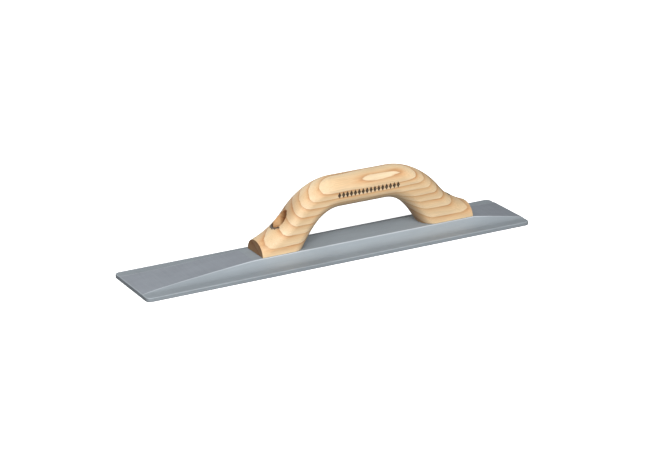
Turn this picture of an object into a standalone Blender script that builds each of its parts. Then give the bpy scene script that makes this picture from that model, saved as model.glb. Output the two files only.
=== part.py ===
"""Magnesium hand float: an extruded magnesium blade with a wooden arch handle screwed on top.

Metres, +Z up. The origin is the centre of the blade's flat sole. X runs along the blade: the toe, with
the longer overhang in front of the handle, is at -X and the heel is at +X. Y runs across the blade.
"""
import math

import bmesh
import bpy
from mathutils import Matrix, Vector

COLLECTION = "magnesium_hand_float"
GAP = 0.0003                        # clearance kept between two pieces that touch

# Blade: one extrusion, with both ends milled down on sloping planes.
BLADE_LENGTH = 0.4064               # 16 in
BLADE_WIDTH = 0.0794                # 3 1/8 in
PLATEAU_HEIGHT = 0.0112             # full thickness along the middle
PLATEAU_WIDTH = 0.0330              # flat strip that the handle stands on
WING_THICKNESS = 0.0040             # thin flat strips along both long edges
FLANK_SLOPE = math.radians(55)      # steepness of the hollow flank where it meets the plateau
CORNER_RADIUS = 0.0050              # corners of the blade seen from above
TOE_TIP_THICKNESS = 0.0042
TOE_TAPER_LENGTH = 0.1180
HEEL_TIP_THICKNESS = 0.0044
HEEL_TAPER_LENGTH = 0.0490

# Handle: its outline seen from the side, in its own frame: x from its middle, z from the plateau.
HANDLE_CENTRE_X = 0.0383            # the handle stands nearer the heel
HANDLE_LENGTH = 0.2276
HANDLE_HEIGHT = 0.0623
HANDLE_WIDTH = 0.0330
FOOT_END_HEIGHT = 0.0128            # sawn face at the outer end of each foot
FOOT_TOP_SLOPE = math.radians(20.6)
SHOULDER = Vector((0.0811, 0.0360))  # a point on the outer slope of the leg
SHOULDER_SLOPE = math.radians(50.7)
GRIP_TOP_HALF = 0.0300              # the top of the grip is straight this far from the middle
FINGER_GAP_OFFSET = -0.0030         # the finger gap lies this far towards the toe from the middle
FINGER_HEIGHT = 0.0321              # clear height of the finger gap
FINGER_TOP_HALF = 0.0244            # the top of the gap is straight this far from the gap's middle
FOOT_INNER_X = 0.0639               # half the width of the gap at its base
FOOT_INNER_SLOPE = math.radians(57.4)
ARCH_ROUNDING = 0.0118              # depth of the rounding of the arch's four long edges
ARCH_FLATTENING = 1.39              # the rounding is this much wider, across Y, than it is deep

# How far each curve of the outline keeps to its starting direction (its Bezier handle).
FOOT_REACH = 0.0100
LEG_LOWER_REACH = 0.0176
LEG_UPPER_REACH = 0.0154
GRIP_REACH = 0.0229
FINGER_REACH = 0.0210
FOOT_INNER_REACH = 0.0142

# Screws, one down through each leg into the blade.
SCREW_SPACING = 0.1754
WELL_RADIUS = 0.00715               # 9/16 in counterbore
WELL_FLOOR = 0.0120                 # height of its floor above the plateau
WOOD_HOLE_RADIUS = 0.0029
SHANK_RADIUS = 0.0024
THREAD_HOLE_DEPTH = 0.0080          # blind hole in the blade
SHANK_IN_BLADE = 0.0072
TIP_BEVEL = 0.0005
HEAD_RADIUS = 0.0048
HEAD_HEIGHT = 0.0034
HEAD_EDGE_HEIGHT = 0.0012           # straight lower part of the domed head
SLOT_WIDTH = 0.0012
SLOT_DEPTH = 0.0016
WASHER_RADIUS = 0.0062
WASHER_HOLE_RADIUS = 0.0028
WASHER_THICKNESS = 0.0012

TOE_SCREW_X = HANDLE_CENTRE_X - SCREW_SPACING / 2
HEEL_SCREW_X = HANDLE_CENTRE_X + SCREW_SPACING / 2
HANDLE_BASE = PLATEAU_HEIGHT + GAP
WASHER_BASE = HANDLE_BASE + WELL_FLOOR + GAP
HEAD_BASE = WASHER_BASE + WASHER_THICKNESS + GAP


def clear_scene():
    for obj in list(bpy.data.objects):
        bpy.data.objects.remove(obj, do_unlink=True)


def new_collection(name):
    collection = bpy.data.collections.new(name)
    bpy.context.scene.collection.children.link(collection)
    return collection


def material(name, colour, roughness, metallic):
    mat = bpy.data.materials.new(name)
    mat.use_nodes = True
    shader = mat.node_tree.nodes["Principled BSDF"]
    shader.inputs["Base Color"].default_value = (*colour, 1.0)
    shader.inputs["Roughness"].default_value = roughness
    shader.inputs["Metallic"].default_value = metallic
    return mat


def add_object(name, data, collection):
    obj = bpy.data.objects.new(name, data)
    collection.objects.link(obj)
    return obj


def outline_mesh(name, points, thickness, collection, resolution=8):
    """A solid sheet from a closed Bezier outline in the XY plane, with its flat faces as single polygons.

    Each point is (corner, handle before it, handle after it); a handle of None runs straight."""
    curve = bpy.data.curves.new(name, "CURVE")
    curve.dimensions = "2D"
    curve.fill_mode = "BOTH"
    curve.extrude = thickness / 2
    curve.resolution_u = resolution
    spline = curve.splines.new("BEZIER")
    spline.use_cyclic_u = True
    spline.bezier_points.add(len(points) - 1)
    for knot, (corner, before, after) in zip(spline.bezier_points, points):
        knot.co = (*corner, 0)
        knot.handle_left_type = "VECTOR" if before is None else "FREE"
        knot.handle_right_type = "VECTOR" if after is None else "FREE"
        if before is not None:
            knot.handle_left = (*before, 0)
        if after is not None:
            knot.handle_right = (*after, 0)
    flat = add_object(name + "_outline", curve, collection)
    bpy.context.view_layer.update()
    evaluated = flat.evaluated_get(bpy.context.evaluated_depsgraph_get())
    mesh = bpy.data.meshes.new_from_object(evaluated)
    bpy.data.objects.remove(flat, do_unlink=True)
    bm = bmesh.new()
    bm.from_mesh(mesh)
    bmesh.ops.remove_doubles(bm, verts=bm.verts, dist=1e-6)
    bmesh.ops.dissolve_limit(bm, angle_limit=math.radians(0.2), verts=bm.verts, edges=bm.edges)
    bmesh.ops.recalc_face_normals(bm, faces=bm.faces)
    bm.to_mesh(mesh)
    bm.free()
    return mesh


def cylinder(name, radius, bottom, top, x, collection, sides=32):
    """A vertical cylinder centred over (x, 0)."""
    bm = bmesh.new()
    bmesh.ops.create_cone(bm, cap_ends=True, segments=sides, radius1=radius, radius2=radius,
                          depth=top - bottom)
    mesh = bpy.data.meshes.new(name)
    bm.to_mesh(mesh)
    bm.free()
    obj = add_object(name, mesh, collection)
    obj.location = (x, 0, (top + bottom) / 2)
    return obj


def cut(obj, cutter):
    cutter.hide_render = True
    cutter.display_type = "WIRE"
    boolean = obj.modifiers.new("cut_" + cutter.name, "BOOLEAN")
    boolean.operation = "DIFFERENCE"
    boolean.solver = "EXACT"
    boolean.object = cutter


def blade_section():
    """Outline of the extrusion, as (across, up): a flat sole, thin wings, hollow flanks and a plateau."""
    edge = BLADE_WIDTH / 2
    plateau = PLATEAU_WIDTH / 2
    rise = PLATEAU_HEIGHT - WING_THICKNESS
    hollow_radius = rise / (1 - math.cos(FLANK_SLOPE))
    wing_end = plateau + hollow_radius * math.sin(FLANK_SLOPE)
    reach = hollow_radius * 4 / 3 * math.tan(FLANK_SLOPE / 4)   # Bezier handle of the hollow's arc
    slope = Vector((math.cos(FLANK_SLOPE), -math.sin(FLANK_SLOPE)))
    top = Vector((plateau, PLATEAU_HEIGHT))
    foot = Vector((wing_end, WING_THICKNESS))
    near_top = top + reach * slope
    near_foot = foot - Vector((reach, 0))

    def across(point):
        return Vector((-point.x, point.y))

    return [
        (Vector((-edge, 0)), None, None),
        (Vector((edge, 0)), None, None),
        (Vector((edge, WING_THICKNESS)), None, None),
        (foot, None, near_foot),
        (top, near_top, None),
        (across(top), None, across(near_top)),
        (across(foot), across(near_foot), None),
        (Vector((-edge, WING_THICKNESS)), None, None),
    ]


def milling_cutter(name, end, tip_thickness, taper_length, collection):
    """A block whose sloping underside is the plane that an end of the blade is milled down to.

    end is -1 for the toe and +1 for the heel."""
    slope = math.atan2(PLATEAU_HEIGHT - tip_thickness, taper_length)
    size = Vector((BLADE_LENGTH, 2 * BLADE_WIDTH, 4 * PLATEAU_HEIGHT))
    bm = bmesh.new()
    bmesh.ops.create_cube(bm, size=1.0)
    bmesh.ops.scale(bm, vec=size, verts=bm.verts)
    bmesh.ops.translate(bm, vec=(0, 0, size.z / 2), verts=bm.verts)
    mesh = bpy.data.meshes.new(name)
    bm.to_mesh(mesh)
    bm.free()
    obj = add_object(name, mesh, collection)
    obj.location = (end * BLADE_LENGTH / 2, 0, tip_thickness)
    obj.rotation_euler = (0, end * slope, 0)
    return obj


def make_blade(parts, cutters, mat):
    mesh = outline_mesh("blade", blade_section(), BLADE_LENGTH, cutters)
    # The outline's axes become Y and Z, and its thickness runs along X.
    mesh.transform(Matrix(((0, 0, 1, 0), (1, 0, 0, 0), (0, 1, 0, 0), (0, 0, 0, 1))))
    bm = bmesh.new()
    bm.from_mesh(mesh)

    def is_upright_corner(edge):
        first, second = (v.co for v in edge.verts)
        upright = abs(first.x - second.x) < 1e-6 and abs(first.y - second.y) < 1e-6
        return upright and abs(first.y) > BLADE_WIDTH / 2 - 1e-5

    corners = [edge for edge in bm.edges if is_upright_corner(edge)]
    bmesh.ops.bevel(bm, geom=corners, offset=CORNER_RADIUS, offset_type="OFFSET", segments=6,
                    profile=0.5, affect="EDGES")
    bm.to_mesh(mesh)
    bm.free()
    blade = add_object("blade", mesh, parts)
    mesh.materials.append(mat)
    cut(blade, milling_cutter("toe_mill", -1, TOE_TIP_THICKNESS, TOE_TAPER_LENGTH, cutters))
    cut(blade, milling_cutter("heel_mill", 1, HEEL_TIP_THICKNESS, HEEL_TAPER_LENGTH, cutters))
    floor = PLATEAU_HEIGHT - THREAD_HOLE_DEPTH
    for name, x in (("toe", TOE_SCREW_X), ("heel", HEEL_SCREW_X)):
        cut(blade, cylinder(name + "_thread_hole", SHANK_RADIUS + GAP, floor, 2 * PLATEAU_HEIGHT, x,
                            cutters, sides=24))


def handle_outline():
    """Side view of the handle, as (along, up), going round from the heel foot over the arch and back."""
    end = HANDLE_LENGTH / 2
    foot_top = Vector((end, FOOT_END_HEIGHT))
    foot_run = Vector((-math.cos(FOOT_TOP_SLOPE), math.sin(FOOT_TOP_SLOPE)))
    leg_run = Vector((-math.cos(SHOULDER_SLOPE), math.sin(SHOULDER_SLOPE)))
    grip = Vector((GRIP_TOP_HALF, HANDLE_HEIGHT))
    inner = Vector((FOOT_INNER_X, 0))
    inner_run = Vector((-math.cos(FOOT_INNER_SLOPE), math.sin(FOOT_INNER_SLOPE)))
    finger = Vector((FINGER_TOP_HALF, FINGER_HEIGHT))
    half_outer = [
        (Vector((end, 0)), None, None),
        (foot_top, None, foot_top + FOOT_REACH * foot_run),
        (SHOULDER, SHOULDER - LEG_LOWER_REACH * leg_run, SHOULDER + LEG_UPPER_REACH * leg_run),
        (grip, grip + Vector((GRIP_REACH, 0)), None),
    ]
    half_inner = [
        (finger, None, finger + Vector((FINGER_REACH, 0))),
        (inner, inner + FOOT_INNER_REACH * inner_run, None),
    ]

    def mirrored(half):
        def flip(v):
            return None if v is None else Vector((-v.x, v.y))
        return [(flip(p), flip(after), flip(before)) for p, before, after in reversed(half)]

    def moved(half):
        def shift(v):
            return None if v is None else Vector((v.x + FINGER_GAP_OFFSET, v.y))
        return [(shift(p), shift(before), shift(after)) for p, before, after in half]

    gap = moved(mirrored(half_inner) + half_inner)
    return half_outer + mirrored(half_outer) + gap


def make_handle(parts, cutters, mat):
    narrow = HANDLE_WIDTH / ARCH_FLATTENING
    mesh = outline_mesh("handle", handle_outline(), narrow, cutters)
    bm = bmesh.new()
    bm.from_mesh(mesh)

    def is_arch_edge(edge):
        """Long edges of the arch: not the base's, and not those of the sawn ends."""
        middle = (edge.verts[0].co + edge.verts[1].co) / 2
        along_side = all(abs(abs(v.co.z) - narrow / 2) < 1e-6 for v in edge.verts)
        same_side = edge.verts[0].co.z * edge.verts[1].co.z > 0
        return along_side and same_side and middle.y > 1e-5 and abs(middle.x) < HANDLE_LENGTH / 2 - 1e-5

    arch = [edge for edge in bm.edges if is_arch_edge(edge)]
    bmesh.ops.bevel(bm, geom=arch, offset=ARCH_ROUNDING, offset_type="OFFSET", segments=6,
                    profile=0.5, affect="EDGES", clamp_overlap=False)
    # The thickness is stretched to the full width here, which makes the round edges elliptical.
    bmesh.ops.scale(bm, vec=(1, 1, ARCH_FLATTENING), verts=bm.verts)
    bm.to_mesh(mesh)
    bm.free()
    # The outline's up becomes Z, and its thickness runs along Y.
    mesh.transform(Matrix(((1, 0, 0, 0), (0, 0, -1, 0), (0, 1, 0, 0), (0, 0, 0, 1))))
    handle = add_object("handle", mesh, parts)
    handle.location = (HANDLE_CENTRE_X, 0, HANDLE_BASE)
    mesh.materials.append(mat)
    mesh.shade_smooth()
    mesh.set_sharp_from_angle(angle=math.radians(40))
    floor = HANDLE_BASE + WELL_FLOOR
    above = HANDLE_BASE + 1.2 * HANDLE_HEIGHT
    for name, x in (("toe", TOE_SCREW_X), ("heel", HEEL_SCREW_X)):
        cut(handle, cylinder(name + "_well", WELL_RADIUS, floor, above, x, cutters))
        cut(handle, cylinder(name + "_wood_hole", WOOD_HOLE_RADIUS, 0, floor + WELL_FLOOR / 4, x,
                             cutters, sides=24))


def turned(name, profile, x, z, collection, mat, closed=False, sides=32):
    """A solid turned about the vertical through (x, 0), from a profile of (radius, height).

    The outer side of the profile runs from top to bottom, and a closed profile makes a ring."""
    mesh = bpy.data.meshes.new(name)
    edges = [(i, i + 1) for i in range(len(profile) - 1)]
    if closed:
        edges.append((len(profile) - 1, 0))
    mesh.from_pydata([(r, 0, h) for r, h in profile], edges, [])
    obj = add_object(name, mesh, collection)
    mesh.materials.append(mat)
    obj.location = (x, 0, z)
    screw = obj.modifiers.new("turn", "SCREW")
    screw.axis = "Z"
    screw.steps = sides
    screw.render_steps = sides
    screw.use_merge_vertices = True
    screw.merge_threshold = 0.00001
    screw.use_smooth_shade = True
    return obj


def head_profile():
    """Domed head on a straight shank, from the middle of the dome down to the point's flat."""
    dome_rise = HEAD_HEIGHT - HEAD_EDGE_HEIGHT
    dome_radius = (HEAD_RADIUS ** 2 + dome_rise ** 2) / (2 * dome_rise)
    sweep = math.asin(HEAD_RADIUS / dome_radius)
    steps = 6
    points = []
    for i in range(steps + 1):
        angle = sweep * i / steps
        points.append((dome_radius * math.sin(angle),
                       HEAD_HEIGHT - dome_radius * (1 - math.cos(angle))))
    shank_end = PLATEAU_HEIGHT - SHANK_IN_BLADE - HEAD_BASE
    points += [(HEAD_RADIUS, 0), (SHANK_RADIUS, 0), (SHANK_RADIUS, shank_end + TIP_BEVEL),
               (SHANK_RADIUS - TIP_BEVEL, shank_end), (0, shank_end)]
    return points


def make_fasteners(parts, cutters, screw_mat, washer_mat):
    for name, x in (("toe", TOE_SCREW_X), ("heel", HEEL_SCREW_X)):
        screw = turned(name + "_screw", head_profile(), x, HEAD_BASE, parts, screw_mat)
        bm = bmesh.new()
        bmesh.ops.create_cube(bm, size=1.0)
        bmesh.ops.scale(bm, vec=(SLOT_WIDTH, 3 * HEAD_RADIUS, 2 * SLOT_DEPTH), verts=bm.verts)
        mesh = bpy.data.meshes.new(name + "_slot")
        bm.to_mesh(mesh)
        bm.free()
        slot = add_object(name + "_slot", mesh, cutters)
        slot.location = (x, 0, HEAD_BASE + HEAD_HEIGHT)
        cut(screw, slot)
        ring = [(WASHER_HOLE_RADIUS, WASHER_THICKNESS), (WASHER_RADIUS, WASHER_THICKNESS),
                (WASHER_RADIUS, 0), (WASHER_HOLE_RADIUS, 0)]
        turned(name + "_washer", ring, x, WASHER_BASE, parts, washer_mat, closed=True)


def main():
    clear_scene()
    parts = new_collection(COLLECTION)
    cutters = new_collection("cutters")
    magnesium = material("magnesium", (0.30, 0.33, 0.37), 0.45, 0.85)
    wood = material("ash_wood", (0.80, 0.60, 0.36), 0.60, 0.0)
    zinc = material("zinc_plated_steel", (0.62, 0.63, 0.64), 0.35, 1.0)
    washer_steel = material("washer_steel", (0.45, 0.45, 0.46), 0.45, 1.0)
    make_blade(parts, cutters, magnesium)
    make_handle(parts, cutters, wood)
    make_fasteners(parts, cutters, zinc, washer_steel)


main()
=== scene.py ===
"""Looks of the magnesium hand float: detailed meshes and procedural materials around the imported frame.

Metres, +Z up, in the frame's own axes: X along the blade with the toe at -X, Y across it, sole at z = 0.
"""

import math

import bmesh
import bpy
from mathutils import Matrix, Vector, noise
from mathutils.bvhtree import BVHTree


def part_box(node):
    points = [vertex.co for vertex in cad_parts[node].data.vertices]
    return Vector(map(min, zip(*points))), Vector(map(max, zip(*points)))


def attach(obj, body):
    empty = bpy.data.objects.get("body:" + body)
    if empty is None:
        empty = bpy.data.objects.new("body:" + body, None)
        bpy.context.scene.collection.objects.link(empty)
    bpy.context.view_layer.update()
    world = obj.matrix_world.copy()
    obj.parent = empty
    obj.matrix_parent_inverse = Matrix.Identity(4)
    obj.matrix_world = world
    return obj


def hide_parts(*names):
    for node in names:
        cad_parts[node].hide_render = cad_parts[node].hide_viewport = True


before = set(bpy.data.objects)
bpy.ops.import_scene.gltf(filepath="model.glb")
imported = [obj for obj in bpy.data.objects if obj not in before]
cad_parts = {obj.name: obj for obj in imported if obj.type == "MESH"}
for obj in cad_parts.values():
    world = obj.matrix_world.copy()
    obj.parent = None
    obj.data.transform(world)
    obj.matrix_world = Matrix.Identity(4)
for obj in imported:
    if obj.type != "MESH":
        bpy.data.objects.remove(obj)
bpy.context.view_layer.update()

MM = 0.001
BODY = "root"
MERGE_DISTANCE = 0.01 * MM          # points nearer than this are one point

# ---------------------------------------------------------------- sizes taken from the frame
BLADE_LOW, BLADE_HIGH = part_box("blade")
HANDLE_LOW, HANDLE_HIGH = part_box("handle")
BLADE_LENGTH = BLADE_HIGH.x - BLADE_LOW.x
BLADE_WIDTH = BLADE_HIGH.y - BLADE_LOW.y
PLATEAU_HEIGHT = BLADE_HIGH.z
HANDLE_CENTRE_X = (HANDLE_LOW.x + HANDLE_HIGH.x) / 2
HANDLE_BASE = HANDLE_LOW.z
HANDLE_LENGTH = HANDLE_HIGH.x - HANDLE_LOW.x
HANDLE_WIDTH = HANDLE_HIGH.y - HANDLE_LOW.y
HANDLE_HEIGHT = HANDLE_HIGH.z - HANDLE_LOW.z

# ---------------------------------------------------------------- blade
PLATEAU_HALF = 16.5 * MM
WING_THICKNESS = 4.0 * MM
FLANK_SLOPE = math.radians(55)
CORNER_RADIUS = 5.0 * MM
TOE_TIP_THICKNESS = 4.2 * MM
TOE_TAPER_LENGTH = 118 * MM
HEEL_TIP_THICKNESS = 4.4 * MM
HEEL_TAPER_LENGTH = 49 * MM
TOP_RIM_RADIUS = 0.7 * MM
SOLE_RIM_RADIUS = 0.6 * MM
CREASE_SOFTNESS = 0.25 * MM         # how far the creases between the top's surfaces are eased
EXTRUDED, MILLED = 0, 1             # the blade's two materials, by their slots

HOLLOW_RADIUS = (PLATEAU_HEIGHT - WING_THICKNESS) / (1 - math.cos(FLANK_SLOPE))
HOLLOW_END = PLATEAU_HALF + HOLLOW_RADIUS * math.sin(FLANK_SLOPE)

# ---------------------------------------------------------------- handle, seen from the side
FOOT_END_HEIGHT = 12.8 * MM
FOOT_TOP_SLOPE = math.radians(20.6)
SHOULDER = Vector((81.1 * MM, 36.0 * MM))
SHOULDER_SLOPE = math.radians(50.7)
GRIP_TOP_HALF = 30.0 * MM
FINGER_GAP_OFFSET = -3.0 * MM
FINGER_HEIGHT = 32.1 * MM
FINGER_TOP_HALF = 24.4 * MM
FOOT_INNER_X = 63.9 * MM
FOOT_INNER_SLOPE = math.radians(57.4)
ARCH_ROUNDING = 11.8 * MM
ARCH_FLATTENING = 1.39
FOOT_REACH = 10.0 * MM
LEG_LOWER_REACH = 17.6 * MM
LEG_UPPER_REACH = 15.4 * MM
GRIP_REACH = 22.9 * MM
FINGER_REACH = 21.0 * MM
FOOT_INNER_REACH = 14.2 * MM
HANDLE_EDGE_EASING = 0.35 * MM

# ---------------------------------------------------------------- screws, washers and their wells
WELL_RADIUS = 7.15 * MM
WELL_FLOOR = 12.0 * MM              # above the handle's base
WOOD_HOLE_RADIUS = 2.9 * MM
THREAD_HOLE_DEPTH = 8.0 * MM
THREAD_HOLE_RADIUS = 2.7 * MM
WASHER_HOLE_RADIUS = 2.8 * MM
THREAD_PITCH = 1.06 * MM            # 24 threads to the inch
THREAD_DEPTH = 0.45 * MM
SHANK_RADIUS = 2.4 * MM
HEAD_HEIGHT = 3.4 * MM
HEAD_EDGE_HEIGHT = 0.9 * MM         # straight edge of the head, below its dome
HEAD_EASING = 0.2 * MM
SLOT_WIDTH = 1.2 * MM
SLOT_DEPTH = 1.6 * MM
WASHER_EDGE_RADIUS = 0.25 * MM

# ---------------------------------------------------------------- camera
CAMERA_AIM = Vector((-0.0010, 0.0063, 0.0163))
CAMERA_DISTANCE = 2.255
CAMERA_AZIMUTH = math.radians(-26.71)
CAMERA_ELEVATION = math.radians(19.52)
CAMERA_ROLL = math.radians(1.645)
CAMERA_LENS = 131.8                 # mm
SENSOR_WIDTH = 36                   # mm

# ---------------------------------------------------------------- light
LIGHT_DISTANCE = 2.4
LIGHT_SIZE = 1.6
SURROUND_LEVEL = 0.126
LIGHTS = (
    # name, azimuth and elevation in degrees, power in watts
    ("high_key", -30, 45, 39),
    ("low_key", -15, 30, 44),
    ("back", 190, 25, 15),
)
FLOOR_HALF_SIZE = 6.0
FLOOR_DROP = 0.2 * MM               # keeps the floor clear of the sole
FLOOR_TONE = 0.9
FLOOR_GLOW = 0.85


def link(name, data):
    obj = bpy.data.objects.new(name, data)
    bpy.context.scene.collection.objects.link(obj)
    return obj


def mesh_from(bm, name):
    mesh = bpy.data.meshes.new(name)
    bm.to_mesh(mesh)
    bm.free()
    return mesh


def join_rings(bm, rings, upwards=False):
    """Joins each ring of points to the next. The faces point out, whether the rings run down or up."""
    for ring, following in zip(rings, rings[1:]):
        for i in range(len(ring)):
            j = (i + 1) % len(ring)
            if upwards:
                bm.faces.new((ring[i], ring[j], following[j], following[i]))
            else:
                bm.faces.new((ring[i], following[i], following[j], ring[j]))


def smooth_mesh(mesh, sharp_angle):
    mesh.shade_smooth()
    mesh.set_sharp_from_angle(angle=math.radians(sharp_angle))


def apply_modifiers(obj):
    """Replaces an object's mesh with its evaluated one, and drops the modifiers."""
    bpy.context.view_layer.update()
    evaluated = obj.evaluated_get(bpy.context.evaluated_depsgraph_get())
    mesh = bpy.data.meshes.new_from_object(evaluated)
    old = obj.data
    obj.modifiers.clear()
    obj.data = mesh
    bpy.data.meshes.remove(old)


def cut(obj, cutter):
    """Cuts cutter out of obj and removes it. The new faces keep the cutter's material."""
    boolean = obj.modifiers.new("cut", "BOOLEAN")
    boolean.operation = "DIFFERENCE"
    boolean.solver = "EXACT"
    boolean.material_mode = "TRANSFER"
    boolean.object = cutter
    apply_modifiers(obj)
    bpy.data.objects.remove(cutter, do_unlink=True)


def drop_slivers(obj):
    """Merges points that coincide, and drops the faces without area that cuts and bevels leave."""
    bm = bmesh.new()
    bm.from_mesh(obj.data)
    bmesh.ops.remove_doubles(bm, verts=bm.verts, dist=MERGE_DISTANCE)
    bmesh.ops.dissolve_degenerate(bm, edges=bm.edges, dist=MERGE_DISTANCE)
    many_sided = [face for face in bm.faces if len(face.verts) > 4]
    bmesh.ops.triangulate(bm, faces=many_sided, ngon_method="BEAUTY")
    bm.to_mesh(obj.data)
    bm.free()


def smoothstep(value, low, high):
    t = min(max((value - low) / (high - low), 0.0), 1.0)
    return t * t * (3 - 2 * t)


def soft_min(a, b, softness):
    """The lower of two heights, with the corner between them eased."""
    h = max(softness - abs(a - b), 0.0) / softness
    return min(a, b) - h * h * softness / 4


# ================================================================ blade

def section_height(y):
    """Height of the extruded top at a distance y from the middle line."""
    y = abs(y)
    if y <= PLATEAU_HALF:
        # carried on past its edge, so that the eased crease has a plane on either side
        return PLATEAU_HEIGHT + (PLATEAU_HALF - y) * math.tan(FLANK_SLOPE)
    if y >= HOLLOW_END:
        return WING_THICKNESS
    reach = HOLLOW_END - y
    return WING_THICKNESS + HOLLOW_RADIUS - math.sqrt(HOLLOW_RADIUS ** 2 - reach ** 2)


def milled_height(x):
    """Height that the milling cutters leave at a place along the blade."""
    toe_rise = (PLATEAU_HEIGHT - TOE_TIP_THICKNESS) / TOE_TAPER_LENGTH
    heel_rise = (PLATEAU_HEIGHT - HEEL_TIP_THICKNESS) / HEEL_TAPER_LENGTH
    toe = TOE_TIP_THICKNESS + toe_rise * (x + BLADE_LENGTH / 2)
    heel = HEEL_TIP_THICKNESS + heel_rise * (BLADE_LENGTH / 2 - x)
    ends = min(toe, heel)
    return soft_min(ends, PLATEAU_HEIGHT, CREASE_SOFTNESS)


def crease_y(x):
    """Distance from the middle line where the flat or milled top meets the hollow flank."""
    height = min(milled_height(x), PLATEAU_HEIGHT)
    drop = WING_THICKNESS + HOLLOW_RADIUS - height
    return HOLLOW_END - math.sqrt(max(HOLLOW_RADIUS ** 2 - drop ** 2, 0.0))


def top_height(x, y):
    return soft_min(milled_height(x), section_height(y), CREASE_SOFTNESS)


def inset_half_width(x):
    """Half width, at x, of the blade's outline inset by the rim's radius."""
    straight = BLADE_LENGTH / 2 - CORNER_RADIUS
    radius = CORNER_RADIUS - TOP_RIM_RADIUS
    past = min(max(abs(x) - straight, 0.0), radius)
    return BLADE_WIDTH / 2 - CORNER_RADIUS + math.sqrt(max(radius ** 2 - past ** 2, 0.0))


def blade_stations():
    """Places of the blade's cross-sections along it, closer together in corners and at creases."""
    straight = BLADE_LENGTH / 2 - CORNER_RADIUS
    radius = CORNER_RADIUS - TOP_RIM_RADIUS
    arc = [straight + radius * math.sin(math.radians(a)) for a in range(0, 91, 10)]
    stations = set(round(v, 6) for v in arc) | set(round(-v, 6) for v in arc)
    creases = (TOE_TAPER_LENGTH - BLADE_LENGTH / 2, BLADE_LENGTH / 2 - HEEL_TAPER_LENGTH)
    for crease in creases:
        for step in (-6, -4, -2.5, -1.5, 0, 1.5, 2.5, 4, 6):
            stations.add(round(crease + step * MM, 6))
    x = -straight
    while x < straight:
        if all(abs(x - crease) > 7 * MM for crease in creases):
            stations.add(round(x, 6))
        x += 4 * MM
    return sorted(stations)


def blade_columns(x):
    """Distances across the blade of the mesh's lines at x, from the -Y rim to the +Y rim."""
    crease = crease_y(x)
    half = inset_half_width(x)
    near_crease = [crease + step * MM for step in (-1.2, -0.6, -0.25, 0, 0.25, 0.6, 1.2)]
    flat = [near_crease[0] * i / 5 for i in range(1, 5)]
    flank = [near_crease[-1] + (HOLLOW_END - near_crease[-1]) * i / 7 for i in range(1, 8)]
    wing = [HOLLOW_END + (half - HOLLOW_END) * i / 3 for i in range(1, 4)]
    side = flat + near_crease + flank + wing
    return [-y for y in reversed(side)] + [0.0] + side


def rim_normal(x, y):
    """Outward direction, seen from above, at a point of the inset outline."""
    straight_x = BLADE_LENGTH / 2 - CORNER_RADIUS
    straight_y = BLADE_WIDTH / 2 - CORNER_RADIUS
    past = Vector((max(abs(x) - straight_x, 0.0), max(abs(y) - straight_y, 0.0)))
    past.x = math.copysign(past.x, x)
    past.y = math.copysign(past.y, y)
    return past.normalized()


def add_blade_top(bm, painted_highlight):
    """The top as rows of points across the blade, toe to heel, with a painted highlight at the creases."""
    grid = []
    for x in blade_stations():
        row = [bm.verts.new((x, y, top_height(x, y))) for y in blade_columns(x)]
        for vert in row:
            if abs(abs(vert.co.y) - crease_y(x)) < 0.3 * MM:
                vert[painted_highlight] = 1.0
        grid.append(row)
    for row, following in zip(grid, grid[1:]):
        for j in range(len(row) - 1):
            corners = (row[j], following[j], following[j + 1], row[j + 1])
            face = bm.faces.new(corners)
            middle = sum((v.co for v in corners), Vector()) / 4
            lowered = milled_height(middle.x) < PLATEAU_HEIGHT - 0.05 * MM
            between_creases = abs(middle.y) < crease_y(middle.x)
            face.material_index = MILLED if lowered and between_creases else EXTRUDED
    return grid


def add_blade_rim(bm, painted_highlight, boundary):
    """A quarter round from the top down to the side, a quarter round in to the sole, and the sole."""
    steps = 4
    turns = [math.pi / 2 * i / steps for i in range(1, steps + 1)]
    loops = [boundary]
    for turn in turns:
        loop = []
        for vert in boundary:
            out = rim_normal(vert.co.x, vert.co.y).to_3d() * TOP_RIM_RADIUS
            drop = Vector((0, 0, TOP_RIM_RADIUS * (1 - math.cos(turn))))
            rounded = bm.verts.new(vert.co + out * math.sin(turn) - drop)
            # painted highlight along the rounding of the top rim
            rounded[painted_highlight] = 0.35 * math.sin(2 * turn)
            loop.append(rounded)
        loops.append(loop)
    for turn in [0.0] + turns:
        loop = []
        for vert in boundary:
            normal = rim_normal(vert.co.x, vert.co.y).to_3d()
            reach = TOP_RIM_RADIUS - SOLE_RIM_RADIUS * (1 - math.cos(turn))
            place = vert.co + normal * reach
            place.z = SOLE_RIM_RADIUS * (1 - math.sin(turn))
            loop.append(bm.verts.new(place))
        loops.append(loop)
    join_rings(bm, loops)
    bm.faces.new(list(reversed(loops[-1])))


def make_blade(extruded, milled):
    bm = bmesh.new()
    # weight of the painted highlight at each point
    painted_highlight = bm.verts.layers.float.new("painted_highlight")
    grid = add_blade_top(bm, painted_highlight)
    boundary = [row[0] for row in grid] + grid[-1][1:]
    boundary += [row[-1] for row in reversed(grid[:-1])] + list(reversed(grid[0][1:-1]))
    add_blade_rim(bm, painted_highlight, boundary)
    bmesh.ops.recalc_face_normals(bm, faces=bm.faces)
    mesh = mesh_from(bm, "float_blade")
    mesh.materials.append(extruded)
    mesh.materials.append(milled)
    blade = link("float_blade", mesh)
    for node in ("toe_screw", "heel_screw"):
        hole = cylinder("thread_hole", THREAD_HOLE_RADIUS, PLATEAU_HEIGHT - THREAD_HOLE_DEPTH,
                        2 * PLATEAU_HEIGHT, middle_x(node))
        hole.data.materials.append(extruded)
        cut(blade, hole)
    smooth_mesh(blade.data, 50)
    weight_normals(blade)
    return blade


def weight_normals(obj):
    """Keeps large flat faces looking flat beside their rounded edges."""
    weighted = obj.modifiers.new("weighted_normals", "WEIGHTED_NORMAL")
    weighted.weight = 100
    weighted.keep_sharp = True


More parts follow.
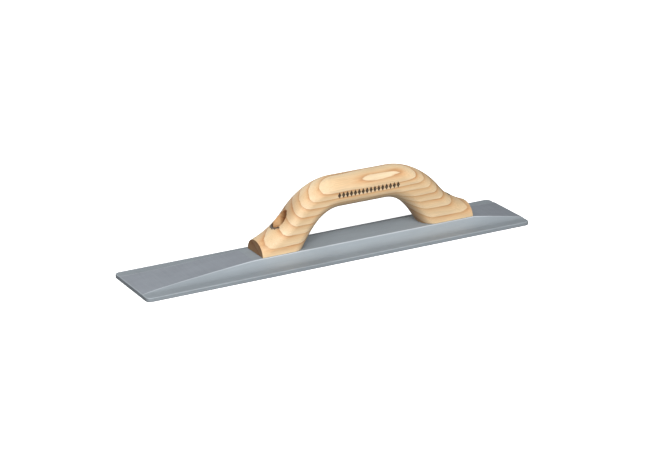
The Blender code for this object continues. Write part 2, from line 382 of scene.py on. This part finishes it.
def cylinder(name, radius, bottom, top, x):
    bm = bmesh.new()
    bmesh.ops.create_cone(bm, cap_ends=True, segments=48, radius1=radius, radius2=radius,
                          depth=top - bottom)
    bmesh.ops.translate(bm, vec=(x, 0, (top + bottom) / 2), verts=bm.verts)
    return link(name, mesh_from(bm, name))


def middle_x(node):
    """Place of a node's middle along the blade."""
    low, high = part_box(node)
    return (low.x + high.x) / 2


# ================================================================ handle

def handle_outline():
    """Side view of the handle as knots: a corner and its Bezier handles before and after it.

    A Bezier handle is None where the outline runs straight."""
    end = HANDLE_LENGTH / 2
    foot_top = Vector((end, FOOT_END_HEIGHT))
    foot_run = Vector((-math.cos(FOOT_TOP_SLOPE), math.sin(FOOT_TOP_SLOPE)))
    leg_run = Vector((-math.cos(SHOULDER_SLOPE), math.sin(SHOULDER_SLOPE)))
    grip = Vector((GRIP_TOP_HALF, HANDLE_HEIGHT))
    inner = Vector((FOOT_INNER_X, 0))
    inner_run = Vector((-math.cos(FOOT_INNER_SLOPE), math.sin(FOOT_INNER_SLOPE)))
    finger = Vector((FINGER_TOP_HALF, FINGER_HEIGHT))
    half_outer = [
        (Vector((end, 0)), None, None),
        (foot_top, None, foot_top + FOOT_REACH * foot_run),
        (SHOULDER, SHOULDER - LEG_LOWER_REACH * leg_run, SHOULDER + LEG_UPPER_REACH * leg_run),
        (grip, grip + Vector((GRIP_REACH, 0)), None),
    ]
    half_inner = [
        (finger, None, finger + Vector((FINGER_REACH, 0))),
        (inner, inner + FOOT_INNER_REACH * inner_run, None),
    ]

    def mirrored(half):
        def flip(v):
            return None if v is None else Vector((-v.x, v.y))
        return [(flip(p), flip(after), flip(before)) for p, before, after in reversed(half)]

    def moved(half):
        def shift(v):
            return None if v is None else Vector((v.x + FINGER_GAP_OFFSET, v.y))
        return [(shift(p), shift(before), shift(after)) for p, before, after in half]

    gap = moved(mirrored(half_inner) + half_inner)
    return half_outer + mirrored(half_outer) + gap


def outline_mesh(points, thickness, resolution):
    """A sheet from a closed Bezier outline in the XY plane, with each flat side as one polygon."""
    curve = bpy.data.curves.new("outline", "CURVE")
    curve.dimensions = "2D"
    curve.fill_mode = "BOTH"
    curve.extrude = thickness / 2
    curve.resolution_u = resolution
    spline = curve.splines.new("BEZIER")
    spline.use_cyclic_u = True
    spline.bezier_points.add(len(points) - 1)
    for knot, (corner, before, after) in zip(spline.bezier_points, points):
        knot.co = (*corner, 0)
        knot.handle_left_type = "VECTOR" if before is None else "FREE"
        knot.handle_right_type = "VECTOR" if after is None else "FREE"
        if before is not None:
            knot.handle_left = (*before, 0)
        if after is not None:
            knot.handle_right = (*after, 0)
    flat = link("outline", curve)
    bpy.context.view_layer.update()
    mesh = bpy.data.meshes.new_from_object(flat.evaluated_get(bpy.context.evaluated_depsgraph_get()))
    bpy.data.objects.remove(flat, do_unlink=True)
    bm = bmesh.new()
    bm.from_mesh(mesh)
    bmesh.ops.remove_doubles(bm, verts=bm.verts, dist=1e-6)
    bmesh.ops.dissolve_limit(bm, angle_limit=math.radians(0.1), verts=bm.verts, edges=bm.edges)
    bmesh.ops.recalc_face_normals(bm, faces=bm.faces)
    bm.to_mesh(mesh)
    bm.free()
    return mesh


def well_cutter(name, x, surface, seed, mat):
    """The counterbore of a screw, with its lip eased and chipped where the drill tore the grain."""
    sides = 96
    top = HANDLE_HIGH.z + 10 * MM
    floor = HANDLE_BASE + WELL_FLOOR
    rows = []
    for i in range(sides):
        angle = 2 * math.pi * i / sides
        direction = Vector((math.cos(angle), math.sin(angle), 0))
        rim = Vector((x, 0, top)) + direction * WELL_RADIUS
        hit = surface.ray_cast(rim, Vector((0, 0, -1)))[0]
        lip = hit.z if hit is not None else floor + 6 * MM
        along_grain = direction.x ** 2
        tear = noise.noise(Vector((direction.x * 6, direction.y * 14, seed)))
        chip = (0.15 + max(tear, 0.0) * 2.6 * along_grain) * MM
        scuff = noise.noise(Vector((direction.x * 3, direction.y * 3, seed + 5))) * 0.12 * MM
        rows.append([
            (WELL_RADIUS, floor),
            (WELL_RADIUS + scuff * 0.5, floor + (lip - floor) * 0.5),
            (WELL_RADIUS + scuff, lip - 1.6 * MM),
            (WELL_RADIUS + scuff + chip * 0.35, lip - 0.6 * MM),
            (WELL_RADIUS + scuff + chip, lip + 0.2 * MM),
            (WELL_RADIUS + scuff + chip * 1.5, lip + 2.0 * MM),
            (WELL_RADIUS, top),
        ])
    bm = bmesh.new()
    rings = []
    for level in range(len(rows[0])):
        ring = []
        for i, row in enumerate(rows):
            angle = 2 * math.pi * i / sides
            radius, z = row[level]
            ring.append(bm.verts.new((x + radius * math.cos(angle), radius * math.sin(angle), z)))
        rings.append(ring)
    join_rings(bm, rings, upwards=True)
    bm.faces.new(list(reversed(rings[0])))
    bm.faces.new(rings[-1])
    mesh = mesh_from(bm, name)
    mesh.materials.append(mat)
    return link(name, mesh)


def round_handle(bm):
    """Rounds over the arch's four long edges, wider across the handle than deep, and eases the rest."""
    narrow = HANDLE_WIDTH / ARCH_FLATTENING

    def is_arch_edge(edge):
        """Long edges of the arch: not the base's, and not those of the sawn ends."""
        middle = (edge.verts[0].co + edge.verts[1].co) / 2
        along_side = all(abs(abs(v.co.z) - narrow / 2) < 1e-6 for v in edge.verts)
        same_side = edge.verts[0].co.z * edge.verts[1].co.z > 0
        return along_side and same_side and middle.y > 1e-5 and abs(middle.x) < HANDLE_LENGTH / 2 - 1e-5

    arch = [edge for edge in bm.edges if is_arch_edge(edge)]
    bmesh.ops.bevel(bm, geom=arch, offset=ARCH_ROUNDING, offset_type="OFFSET", segments=18,
                    profile=0.5, affect="EDGES", clamp_overlap=False)
    bmesh.ops.scale(bm, vec=(1, 1, ARCH_FLATTENING), verts=bm.verts)
    hard = [edge for edge in bm.edges
            if len(edge.link_faces) == 2 and edge.calc_face_angle() > math.radians(50)]
    bmesh.ops.bevel(bm, geom=hard, offset=HANDLE_EDGE_EASING, offset_type="OFFSET", segments=2,
                    profile=0.5, affect="EDGES", clamp_overlap=True)


def make_handle(wood, shaded_bored_wood):
    mesh = outline_mesh(handle_outline(), HANDLE_WIDTH / ARCH_FLATTENING, 24)
    bm = bmesh.new()
    bm.from_mesh(mesh)
    round_handle(bm)
    stood_up = Matrix(((1, 0, 0, 0), (0, 0, -1, 0), (0, 1, 0, 0), (0, 0, 0, 1)))
    to_frame = Matrix.Translation((HANDLE_CENTRE_X, 0, HANDLE_BASE)) @ stood_up
    bmesh.ops.transform(bm, matrix=to_frame, verts=bm.verts)
    bm.to_mesh(mesh)
    surface = BVHTree.FromBMesh(bm)
    bm.free()
    mesh.name = "arch_handle"
    mesh.materials.append(wood)
    handle = link("arch_handle", mesh)
    for seed, node in ((2.0, "toe_screw"), (7.0, "heel_screw")):
        x = middle_x(node)
        cut(handle, well_cutter("well", x, surface, seed, shaded_bored_wood))
        hole = cylinder("wood_hole", WOOD_HOLE_RADIUS, HANDLE_BASE - 5 * MM,
                        HANDLE_BASE + WELL_FLOOR + 2 * MM, x)
        hole.data.materials.append(shaded_bored_wood)
        cut(handle, hole)
    drop_slivers(handle)
    smooth_mesh(handle.data, 35)
    weight_normals(handle)
    return handle


# ================================================================ fasteners

def turned(name, profile, closed):
    """A solid of revolution about Z from a profile of (radius, height) points, outer side top to bottom."""
    edges = [(i, i + 1) for i in range(len(profile) - 1)]
    if closed:
        edges.append((len(profile) - 1, 0))
    mesh = bpy.data.meshes.new(name)
    mesh.from_pydata([(r, 0, z) for r, z in profile], edges, [])
    obj = link(name, mesh)
    screw = obj.modifiers.new("turn", "SCREW")
    screw.axis = "Z"
    screw.steps = 64
    screw.render_steps = 64
    screw.use_merge_vertices = True
    screw.merge_threshold = 1e-6
    apply_modifiers(obj)
    return obj


def arc_points(centre, radius, start, end, steps):
    """Points on an arc of a profile, with angles in degrees from the +radius direction."""
    points = []
    for i in range(steps + 1):
        angle = math.radians(start + (end - start) * i / steps)
        points.append((centre[0] + radius * math.cos(angle), centre[1] + radius * math.sin(angle)))
    return points


def make_washer(name, node, mat):
    low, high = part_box(node)
    edge = WASHER_EDGE_RADIUS
    inner = WASHER_HOLE_RADIUS + edge
    outer = (high.x - low.x) / 2 - edge
    profile = arc_points((inner, high.z - edge), edge, 180, 90, 4)
    profile += arc_points((outer, high.z - edge), edge, 90, 0, 4)
    profile += arc_points((outer, low.z + edge), edge, 0, -90, 4)
    profile += arc_points((inner, low.z + edge), edge, -90, -180, 4)
    washer = turned(name, profile, closed=True)
    washer.data.transform(Matrix.Translation((middle_x(node), 0, 0)))
    washer.data.materials.append(mat)
    smooth_mesh(washer.data, 60)
    return washer


def add_threaded_shank(bm, top, bottom):
    """A closed shank with a cut thread, as a helical ridge wound round its core."""
    sides = 28
    turns = (top - bottom) / THREAD_PITCH
    rows = int(turns * 8)
    rings = []
    for row in range(rows + 1):
        z = top + (bottom - top) * row / rows
        fade = smoothstep(top - z, 0.0, 2 * THREAD_PITCH) * smoothstep(z - bottom, 0.0, 2 * THREAD_PITCH)
        ring = []
        for i in range(sides):
            angle = 2 * math.pi * i / sides
            phase = ((top - z) / THREAD_PITCH - i / sides) % 1.0
            ridge = 1 - abs(2 * phase - 1)
            r = SHANK_RADIUS - THREAD_DEPTH * (1 - ridge * fade)
            ring.append(bm.verts.new((r * math.cos(angle), r * math.sin(angle), z)))
        rings.append(ring)
    join_rings(bm, rings)
    bm.faces.new(rings[0])
    bm.faces.new(list(reversed(rings[-1])))


def pan_head_profile(radius, top):
    """Half section of a domed head, from the middle of its top to the middle of its seat."""
    seat = top - HEAD_HEIGHT
    rise = HEAD_HEIGHT - HEAD_EDGE_HEIGHT
    dome_radius = (radius ** 2 + rise ** 2) / (2 * rise)
    sweep = math.degrees(math.asin(radius / dome_radius))
    profile = arc_points((0, top - dome_radius), dome_radius, 90, 90 - sweep, 12)
    profile[0] = (0, top)
    return profile + [(radius, seat + HEAD_EASING), (radius - HEAD_EASING, seat), (0, seat)]


def slot_cutter(length, top, turn):
    bm = bmesh.new()
    bmesh.ops.create_cube(bm, size=1.0)
    bmesh.ops.scale(bm, vec=(SLOT_WIDTH, length, 2 * SLOT_DEPTH), verts=bm.verts)
    bmesh.ops.rotate(bm, matrix=Matrix.Rotation(turn, 3, "Z"), verts=bm.verts)
    bmesh.ops.translate(bm, vec=(0, 0, top), verts=bm.verts)
    return link("slot", mesh_from(bm, "slot"))


def make_screw(name, node, slot_turn, mat):
    low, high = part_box(node)
    radius = (high.x - low.x) / 2
    screw = turned(name, pan_head_profile(radius, high.z), closed=False)
    cut(screw, slot_cutter(4 * radius, high.z, slot_turn))
    bm = bmesh.new()
    bm.from_mesh(screw.data)
    add_threaded_shank(bm, high.z - HEAD_HEIGHT - 0.01 * MM, low.z)
    bmesh.ops.translate(bm, vec=(middle_x(node), 0, 0), verts=bm.verts)
    bm.to_mesh(screw.data)
    bm.free()
    screw.data.materials.clear()
    screw.data.materials.append(mat)
    smooth_mesh(screw.data, 35)
    return screw


# ================================================================ materials

class Nodes:
    """Short calls for building a material's node tree."""

    def __init__(self, name):
        self.material = bpy.data.materials.new(name)
        self.material.use_nodes = True
        self.tree = self.material.node_tree
        self.shader = self.tree.nodes["Principled BSDF"]

    def new(self, kind, **settings):
        node = self.tree.nodes.new(kind)
        for key, value in settings.items():
            setattr(node, key, value)
        return node

    def feed(self, socket, value):
        """Links an output into a socket, or sets the socket's own value."""
        if isinstance(value, bpy.types.NodeSocket):
            self.tree.links.new(value, socket)
        elif isinstance(value, (tuple, list)) and len(value) == 3 and socket.type == "RGBA":
            socket.default_value = (*value, 1.0)
        else:
            socket.default_value = value

    def math(self, operation, a, b=None, c=None, clamp=False):
        node = self.new("ShaderNodeMath", operation=operation, use_clamp=clamp)
        for socket, value in zip(node.inputs, (a, b, c)):
            if value is not None:
                self.feed(socket, value)
        return node.outputs[0]

    def position(self):
        """Coordinates on the piece, in millimetres."""
        coords = self.new("ShaderNodeTexCoord").outputs["Object"]
        scale = self.new("ShaderNodeVectorMath", operation="SCALE")
        self.feed(scale.inputs[0], coords)
        scale.inputs["Scale"].default_value = 1000.0
        return scale.outputs[0]

    def split(self, vector):
        node = self.new("ShaderNodeSeparateXYZ")
        self.feed(node.inputs[0], vector)
        return node.outputs[0], node.outputs[1], node.outputs[2]

    def stretch(self, vector, scale):
        node = self.new("ShaderNodeVectorMath", operation="MULTIPLY")
        self.feed(node.inputs[0], vector)
        node.inputs[1].default_value = scale
        return node.outputs[0]

    def noise(self, vector, scale=1.0, detail=2.0, roughness=0.5, distortion=0.0):
        node = self.new("ShaderNodeTexNoise")
        self.feed(node.inputs["Vector"], vector)
        node.inputs["Scale"].default_value = scale
        node.inputs["Detail"].default_value = detail
        node.inputs["Roughness"].default_value = roughness
        node.inputs["Distortion"].default_value = distortion
        return node.outputs["Fac"]

    def band(self, value, low, high, out_low=0.0, out_high=1.0):
        """Maps low..high to out_low..out_high, smoothly and clamped."""
        node = self.new("ShaderNodeMapRange", interpolation_type="SMOOTHSTEP")
        self.feed(node.inputs["Value"], value)
        ends = (("From Min", low), ("From Max", high), ("To Min", out_low), ("To Max", out_high))
        for key, number in ends:
            node.inputs[key].default_value = number
        return node.outputs["Result"]

    def ramp(self, value, stops):
        node = self.new("ShaderNodeValToRGB")
        self.feed(node.inputs["Fac"], value)
        elements = node.color_ramp.elements
        while len(elements) < len(stops):
            elements.new(0.5)
        for element, (place, colour) in zip(elements, stops):
            element.position = place
            element.color = (*colour, 1.0)
        return node.outputs["Color"]

    def mix(self, factor, a, b, blend="MIX"):
        node = self.new("ShaderNodeMix", data_type="RGBA", blend_type=blend)
        self.feed(node.inputs["Factor"], factor)
        self.feed(node.inputs[6], a)
        self.feed(node.inputs[7], b)
        return node.outputs[2]

    def tint(self, colour, tone):
        """A colour multiplied by another."""
        return self.mix(1.0, colour, tone, "MULTIPLY")

    def shade(self, colour, level):
        """A colour multiplied by a grey level."""
        grey = self.new("ShaderNodeCombineColor")
        for socket in grey.inputs:
            self.feed(socket, level)
        return self.tint(colour, grey.outputs[0])

    def bump(self, height, distance, strength, onto=None):
        node = self.new("ShaderNodeBump")
        node.inputs["Strength"].default_value = strength
        node.inputs["Distance"].default_value = distance
        self.feed(node.inputs["Height"], height)
        if onto is not None:
            self.feed(node.inputs["Normal"], onto)
        return node.outputs["Normal"]


def srgb(red, green, blue):
    """A linear colour from 0-255 display values."""
    def linear(value):
        value /= 255
        return value / 12.92 if value <= 0.04045 else ((value + 0.055) / 1.055) ** 2.4
    return (linear(red), linear(green), linear(blue))


# Colours through one year's growth, from the year before's dark edge to its own.
RING_COLOURS = (
    (0.0, srgb(214, 170, 124)),
    (0.04, srgb(250, 229, 192)),
    (0.40, srgb(247, 221, 180)),
    (0.70, srgb(242, 208, 162)),
    (0.88, srgb(230, 184, 134)),
    (0.96, srgb(212, 156, 104)),
    (1.0, srgb(192, 134, 86)),
)
PLAIN_WOOD = srgb(240, 210, 165)
HANDLE_TONE = (0.83, 0.785, 0.75)
HANDLE_END_GRAIN = srgb(170, 150, 134)
# Painted shade: the wood inside the wells is toned darker and browner than the outside.
WELL_SHADE_TONE = srgb(222, 200, 180)
BORED_END_GRAIN = srgb(170, 145, 120)
# Painted light on the grip's top.
TOP_LIGHT_TONE = (1.09, 1.14, 1.20)
# Colour of the painted shade in each well's torn lip.
LIP_SHADOW = srgb(48, 40, 36)
BURNED_WOOD = srgb(44, 27, 17)
MILLED_METAL = srgb(146, 152, 160)
EXTRUDED_METAL = srgb(147, 155, 161)
# Colour of the painted highlight on the blade's creases and top rim.
HIGHLIGHT_METAL = srgb(196, 202, 208)
ZINC = (0.62, 0.62, 0.60)
PLAIN_STEEL = (0.42, 0.42, 0.43)

# Places and sizes of the patterns in the wood, in millimetres. Heights are above the handle's base.
RING_SLOPE = 0.93                   # rise of the rings' sheets across the handle
RING_CURL = 0.0145                  # and how fast they level off, per millimetre across
RING_CROWDING = 60.0                # height over which the rings become e times as close
RING_SCALE = 5.161
RING_START = -4.80
LAST_RING_DIP = 1.5
# heights of the painted light on the grip's top
TOP_LIGHT_HEIGHTS = (50.0, 60.0)
BURN_HEIGHT = 47.1
BURN_HALF_LENGTH = 33.6
DIAMOND_PITCH = 4.2
DIAMOND_HALF_WIDTH = 1.9
DIAMOND_HALF_HEIGHT = 3.3


def growth_rings(nodes, place):
    """Phase of the growth rings at a point: a whole number at the end of each year's dark wood.

    The handle is sawn with the fibres along X. Its rings lie in sheets that rise towards +Y and grow
    closer together upwards."""
    x, y, z = nodes.split(place)
    wander = nodes.noise(nodes.stretch(place, (0.012, 0.05, 0.05)))
    wobble = nodes.noise(nodes.stretch(place, (0.05, 0.35, 0.35)), detail=3.0)
    across = nodes.math("ADD", y, HANDLE_WIDTH / MM / 2)
    rise = nodes.math("MULTIPLY", across, RING_SLOPE)
    curl = nodes.math("MULTIPLY", nodes.math("MULTIPLY", across, across), RING_CURL)
    height = nodes.math("SUBTRACT", z, HANDLE_BASE / MM)
    level = nodes.math("ADD", nodes.math("SUBTRACT", height, rise), curl)
    level = nodes.math("ADD", level, nodes.math("MULTIPLY_ADD", wander, 3.2, -1.6))
    level = nodes.math("ADD", level, nodes.math("MULTIPLY_ADD", wobble, 1.0, -0.5))
    # On top of the grip the last ring dips towards the toe.
    along = nodes.math("SUBTRACT", x, HANDLE_CENTRE_X / MM)
    towards_toe = nodes.band(along, -20.0, 6.0, LAST_RING_DIP, 0.0)
    dip = nodes.math("MULTIPLY", towards_toe, nodes.band(height, 46.0, 58.0))
    level = nodes.math("SUBTRACT", level, dip)
    growth = nodes.math("EXPONENT", nodes.math("DIVIDE", level, RING_CROWDING))
    return nodes.math("MULTIPLY_ADD", growth, RING_SCALE, RING_START)


def ring_colour(nodes, place):
    """Colour of the growth rings, and the season of each point, from 0 to 1 through its year."""
    phase = growth_rings(nodes, place)
    chance = nodes.new("ShaderNodeTexWhiteNoise", noise_dimensions="1D")
    nodes.feed(chance.inputs["W"], nodes.math("FLOOR", phase))
    season = nodes.math("FRACT", phase)
    fading = nodes.noise(nodes.stretch(place, (0.03, 0.12, 0.12)))
    strength = nodes.math("MULTIPLY_ADD", chance.outputs["Value"], 0.2, 0.75)
    strength = nodes.math("MULTIPLY", strength, nodes.band(fading, 0.3, 0.7, 0.55, 1.1), clamp=True)
    return nodes.mix(strength, PLAIN_WOOD, nodes.ramp(season, RING_COLOURS)), season


def burned_band(nodes, place):
    """Mask of a plain burned border on the near side of the grip: a row of small slim diamonds."""
    x, y, z = nodes.split(place)
    along = nodes.math("SUBTRACT", x, HANDLE_CENTRE_X / MM)
    cell = nodes.math("FLOORED_MODULO", along, DIAMOND_PITCH)
    sideways = nodes.math("ABSOLUTE", nodes.math("SUBTRACT", cell, DIAMOND_PITCH / 2))
    upwards = nodes.math("ABSOLUTE", nodes.math("SUBTRACT", z, HANDLE_BASE / MM + BURN_HEIGHT))
    diamond = nodes.math("ADD", nodes.math("DIVIDE", sideways, DIAMOND_HALF_WIDTH),
                         nodes.math("DIVIDE", upwards, DIAMOND_HALF_HEIGHT))
    shape = nodes.band(diamond, 0.85, 1.1, 1.0, 0.0)
    distance = nodes.math("ABSOLUTE", along)
    inside = nodes.band(distance, BURN_HALF_LENGTH, BURN_HALF_LENGTH + 0.1, 1.0, 0.0)
    near_side = nodes.band(y, -15.0, -14.0, 1.0, 0.0)
    return nodes.math("MULTIPLY", nodes.math("MULTIPLY", shape, inside), near_side)


def torn_and_shaded_lip(nodes, place):
    """Mask of the drill's tear at each well's lower lip: its colour is painted shade, its bump the tear."""
    x, y, z = nodes.split(place)
    reach = middle_x("heel_screw") - HANDLE_CENTRE_X
    along = nodes.math("ABSOLUTE", nodes.math("SUBTRACT", x, HANDLE_CENTRE_X / MM))
    outward = nodes.math("SUBTRACT", along, reach / MM)
    square = nodes.math("ADD", nodes.math("MULTIPLY", outward, outward), nodes.math("MULTIPLY", y, y))
    radius = nodes.math("SQRT", square)
    rough = nodes.noise(nodes.stretch(place, (0.5, 0.9, 0.9)), detail=3.0, roughness=0.7)
    edge = nodes.math("ADD", radius, nodes.math("MULTIPLY_ADD", rough, 4.4, -2.2))
    ring = nodes.math("MULTIPLY", nodes.band(edge, 5.9, 6.5), nodes.band(edge, 8.8, 9.5, 1.0, 0.0))
    return nodes.math("MULTIPLY", ring, nodes.band(outward, 2.8, 4.4))


def open_fibre_ends(nodes):
    """Mask of the surfaces that face along the grain."""
    facing = nodes.new("ShaderNodeNewGeometry").outputs["Normal"]
    return nodes.band(nodes.math("ABSOLUTE", nodes.split(facing)[0]), 0.45, 1.0)


def painted_top_light(nodes, place):
    """Mask of the flat top of the grip, where painted light makes the wood paler."""
    height = nodes.math("SUBTRACT", nodes.split(place)[2], HANDLE_BASE / MM)
    return nodes.band(height, *TOP_LIGHT_HEIGHTS)


def wood_material(name, tone, end_grain_tone, with_mark):
    nodes = Nodes(name)
    place = nodes.position()
    colour, season = ring_colour(nodes, place)
    fibre = nodes.noise(nodes.stretch(place, (0.05, 2.2, 2.2)), detail=4.0, roughness=0.6)
    patch = nodes.noise(nodes.stretch(place, (0.02, 0.09, 0.09)))
    streaks = nodes.band(fibre, 0.30, 0.72, 0.86, 1.05)
    clouds = nodes.band(patch, 0.3, 0.7, 0.95, 1.03)
    colour = nodes.shade(colour, nodes.math("MULTIPLY", streaks, clouds))
    colour = nodes.tint(colour, tone)
    # Open fibre ends drink in the finish and turn browner. Painted light makes the grip's top paler.
    colour = nodes.mix(open_fibre_ends(nodes), colour, nodes.tint(colour, end_grain_tone))
    colour = nodes.mix(painted_top_light(nodes, place), colour, nodes.tint(colour, TOP_LIGHT_TONE))
    tear_and_shade = torn_and_shaded_lip(nodes, place)
    # painted shade darkens the torn lip
    colour = nodes.mix(nodes.math("MULTIPLY", tear_and_shade, 0.9), colour, LIP_SHADOW)

    late_wood = nodes.math("MULTIPLY", nodes.band(season, 0.6, 0.97), 0.5)
    relief = nodes.math("SUBTRACT", nodes.math("ADD", late_wood, fibre), tear_and_shade)
    normal = nodes.bump(relief, 0.12 * MM, 0.6)
    if with_mark:
        char = nodes.noise(nodes.stretch(place, (1.1, 1.1, 1.1)))
        depth = nodes.band(char, 0.25, 0.6, 0.70, 1.0)
        burn = nodes.math("MULTIPLY", burned_band(nodes, place), depth)
        colour = nodes.mix(burn, colour, BURNED_WOOD)
        normal = nodes.bump(nodes.math("MULTIPLY", burn, -1.0), 0.2 * MM, 0.6, normal)
    nodes.feed(nodes.shader.inputs["Base Color"], colour)
    nodes.feed(nodes.shader.inputs["Roughness"], nodes.band(fibre, 0.3, 0.7, 0.62, 0.50))
    nodes.shader.inputs["Specular IOR Level"].default_value = 0.5
    nodes.feed(nodes.shader.inputs["Normal"], normal)
    return nodes.material


def flank_highlight_plateau_shade(nodes, y):
    """Painted light: the hollow flanks are made brighter and the flat top between them darker."""
    across = nodes.math("ABSOLUTE", y)
    edge = PLATEAU_HALF / MM
    plateau = nodes.band(across, edge - 0.2, edge + 0.4, 0.93, 1.0)
    flank = nodes.band(across, 23.0, 32.0, 1.13, 1.0)
    return nodes.math("MULTIPLY", plateau, flank)


def magnesium_material(name, milled):
    """Satin magnesium: die lines along an extruded surface, cutter marks across a milled one."""
    nodes = Nodes(name)
    place = nodes.position()
    blotch = nodes.noise(nodes.stretch(place, (0.02, 0.06, 0.06)), detail=4.0, roughness=0.55)
    speck = nodes.noise(place, scale=1.6, detail=3.0, roughness=0.6)
    line_scale = (0.5, 0.03, 0.5) if milled else (0.004, 3.0, 3.0)
    lines = nodes.noise(nodes.stretch(place, line_scale), detail=3.0, roughness=0.6)
    tone = nodes.math("MULTIPLY", nodes.band(blotch, 0.3, 0.7, 0.94, 1.04),
                      nodes.band(lines, 0.3, 0.7, 0.96, 1.03))
    tone = nodes.math("MULTIPLY", tone, nodes.band(speck, 0.25, 0.55, 0.97, 1.0))
    if not milled:
        # painted highlight on the flanks and painted shade on the flat top
        tone = nodes.math("MULTIPLY", tone, flank_highlight_plateau_shade(nodes, nodes.split(place)[1]))
    colour = nodes.shade(MILLED_METAL if milled else EXTRUDED_METAL, tone)
    # Painted highlight: a bright line along the creases and the rounding of the top rim.
    highlight_mask = nodes.new("ShaderNodeAttribute", attribute_name="painted_highlight").outputs["Fac"]
    highlight_mask = nodes.math("MULTIPLY", highlight_mask, nodes.band(blotch, 0.3, 0.6, 0.45, 0.9))
    nodes.feed(nodes.shader.inputs["Base Color"], nodes.mix(highlight_mask, colour, HIGHLIGHT_METAL))
    nodes.shader.inputs["Metallic"].default_value = 0.16
    nodes.shader.inputs["Specular IOR Level"].default_value = 0.3
    nodes.feed(nodes.shader.inputs["Roughness"], nodes.band(blotch, 0.3, 0.7, 0.60, 0.54))
    relief = nodes.math("ADD", lines, nodes.math("MULTIPLY", speck, 0.4))
    nodes.feed(nodes.shader.inputs["Normal"], nodes.bump(relief, 0.03 * MM, 0.5))
    return nodes.material


def steel_material(name, colour, roughness):
    nodes = Nodes(name)
    place = nodes.position()
    grime = nodes.noise(place, scale=0.7, detail=4.0, roughness=0.6)
    dirty = tuple(0.6 * c for c in colour)
    worn_colour = nodes.mix(nodes.band(grime, 0.35, 0.7), colour, dirty)
    nodes.feed(nodes.shader.inputs["Base Color"], worn_colour)
    nodes.shader.inputs["Metallic"].default_value = 1.0
    dullness = nodes.band(grime, 0.3, 0.7, roughness, roughness + 0.15)
    nodes.feed(nodes.shader.inputs["Roughness"], dullness)
    scratches = nodes.noise(nodes.stretch(place, (6.0, 0.6, 6.0)))
    nodes.feed(nodes.shader.inputs["Normal"], nodes.bump(scratches, 0.02 * MM, 0.5))
    return nodes.material


# ================================================================ setting

def make_floor():
    """A white floor that glows by itself, and that neither lights nor mirrors in the float."""
    bm = bmesh.new()
    bmesh.ops.create_grid(bm, x_segments=1, y_segments=1, size=FLOOR_HALF_SIZE)
    floor = link("floor", mesh_from(bm, "floor"))
    floor.location.z = -FLOOR_DROP
    floor.visible_diffuse = False
    floor.visible_glossy = False
    nodes = Nodes("floor_paper")
    nodes.shader.inputs["Base Color"].default_value = (FLOOR_TONE, FLOOR_TONE, FLOOR_TONE, 1)
    nodes.shader.inputs["Roughness"].default_value = 0.9
    nodes.shader.inputs["Specular IOR Level"].default_value = 0.1
    nodes.shader.inputs["Emission Color"].default_value = (1, 1, 1, 1)
    nodes.shader.inputs["Emission Strength"].default_value = FLOOR_GLOW
    floor.data.materials.append(nodes.material)


def direction_back(azimuth, elevation):
    """From the float towards a viewer or a light. Azimuth 0 is in front, at -Y, and -90 is at the toe."""
    level = math.cos(elevation)
    return Vector((math.sin(azimuth) * level, -math.cos(azimuth) * level, math.sin(elevation)))


def make_light(name, azimuth, elevation, power):
    """A soft square light aimed at the float."""
    back = direction_back(math.radians(azimuth), math.radians(elevation))
    data = bpy.data.lights.new(name, "AREA")
    data.shape = "SQUARE"
    data.size = LIGHT_SIZE
    data.energy = power
    lamp = link(name, data)
    lamp.location = back * LIGHT_DISTANCE
    lamp.rotation_euler = back.to_track_quat("Z", "Y").to_euler()


def make_world():
    world = bpy.data.worlds.new("studio")
    bpy.context.scene.world = world
    world.use_nodes = True
    background = world.node_tree.nodes["Background"]
    background.inputs["Color"].default_value = (1, 1, 1, 1)
    background.inputs["Strength"].default_value = SURROUND_LEVEL


def make_camera():
    back = direction_back(CAMERA_AZIMUTH, CAMERA_ELEVATION)
    right = Vector((math.cos(CAMERA_AZIMUTH), math.sin(CAMERA_AZIMUTH), 0))
    up = back.cross(right)
    turned_right = math.cos(CAMERA_ROLL) * right - math.sin(CAMERA_ROLL) * up
    turned_up = math.sin(CAMERA_ROLL) * right + math.cos(CAMERA_ROLL) * up
    data = bpy.data.cameras.new("camera")
    data.sensor_width = SENSOR_WIDTH
    data.lens = CAMERA_LENS
    data.clip_end = 50
    camera = link("camera", data)
    rotation = Matrix((turned_right, turned_up, back)).transposed().to_4x4()
    camera.matrix_world = Matrix.Translation(CAMERA_AIM + back * CAMERA_DISTANCE) @ rotation
    bpy.context.scene.camera = camera


def make_pieces():
    """Every visible piece, with the frame's node that it replaces and its material slot."""
    extruded = magnesium_material("extruded_magnesium", milled=False)
    milled = magnesium_material("milled_magnesium", milled=True)
    wood = wood_material("handle_wood", HANDLE_TONE, HANDLE_END_GRAIN, with_mark=True)
    # the wells' wood, darkened by painted shade
    shaded_bored = wood_material("shaded_bored_wood", WELL_SHADE_TONE, BORED_END_GRAIN, with_mark=False)
    zinc = steel_material("zinc_plated_steel", ZINC, 0.32)
    steel = steel_material("washer_steel", PLAIN_STEEL, 0.42)
    return [
        (make_blade(extruded, milled), "blade", "magnesium"),
        (make_handle(wood, shaded_bored), "handle", "handle_wood"),
        (make_screw("toe_pan_screw", "toe_screw", math.radians(25), zinc), "toe_screw", "screw_steel"),
        (make_screw("heel_pan_screw", "heel_screw", math.radians(-50), zinc), "heel_screw", "screw_steel"),
        (make_washer("toe_flat_washer", "toe_washer", steel), "toe_washer", "washer_steel"),
        (make_washer("heel_flat_washer", "heel_washer", steel), "heel_washer", "washer_steel"),
    ]


def main():
    bpy.context.scene.view_settings.view_transform = "Standard"
    make_camera()
    make_world()
    for light in LIGHTS:
        make_light(*light)
    make_floor()
    for piece, node, slot in make_pieces():
        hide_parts(node)
        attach(piece, BODY)


main()
